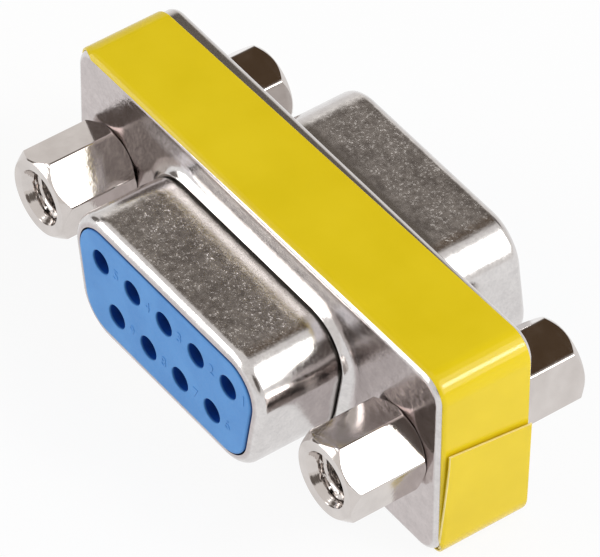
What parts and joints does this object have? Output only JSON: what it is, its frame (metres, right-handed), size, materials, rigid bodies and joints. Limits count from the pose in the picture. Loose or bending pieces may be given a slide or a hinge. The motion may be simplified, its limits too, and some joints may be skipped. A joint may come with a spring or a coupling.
{
  "type": "d-sub gender changer",
  "caption": "Slim D-sub gender changer with a socket face at each end, D-shaped metal shrouds, hexagonal jack sockets and a yellow wrap label.",
  "frame": {"origin": "Middle of the contact grid, halfway between the two mating faces.", "axes": "+X along the long way of the shrouds, to the right of someone who looks at the front face. +Y from the front mating face to the rear one. +Z across the two contact rows, towards the wide side of the front shroud. The part lies on its lower long edge."},
  "size_m": [0.0318, 0.0172, 0.0126],
  "materials": {
    "plated_steel": "bright tin plated drawn steel with a fine mottled grain",
    "plated_brass": "nickel plated, turned and bevelled",
    "blue_plastic": "moulded, fine matt",
    "contact_brass": "thin gold flash",
    "yellow_vinyl": "smooth glossy vinyl"
  },
  "bodies": {
    "root": {"front_shell": "plated_steel", "rear_shell": "plated_steel", "front_insulator": "blue_plastic", "rear_insulator": "blue_plastic", "contact_1": "contact_brass", "contact_2": "contact_brass", "contact_3": "contact_brass", "contact_4": "contact_brass", "contact_5": "contact_brass", "contact_6": "contact_brass", "contact_7": "contact_brass", "contact_8": "contact_brass", "contact_9": "contact_brass", "jack_screw_left": "plated_brass", "jack_screw_right": "plated_brass", "jack_nut_left": "plated_brass", "jack_nut_right": "plated_brass", "label": "yellow_vinyl"}
  },
  "joints": []
}
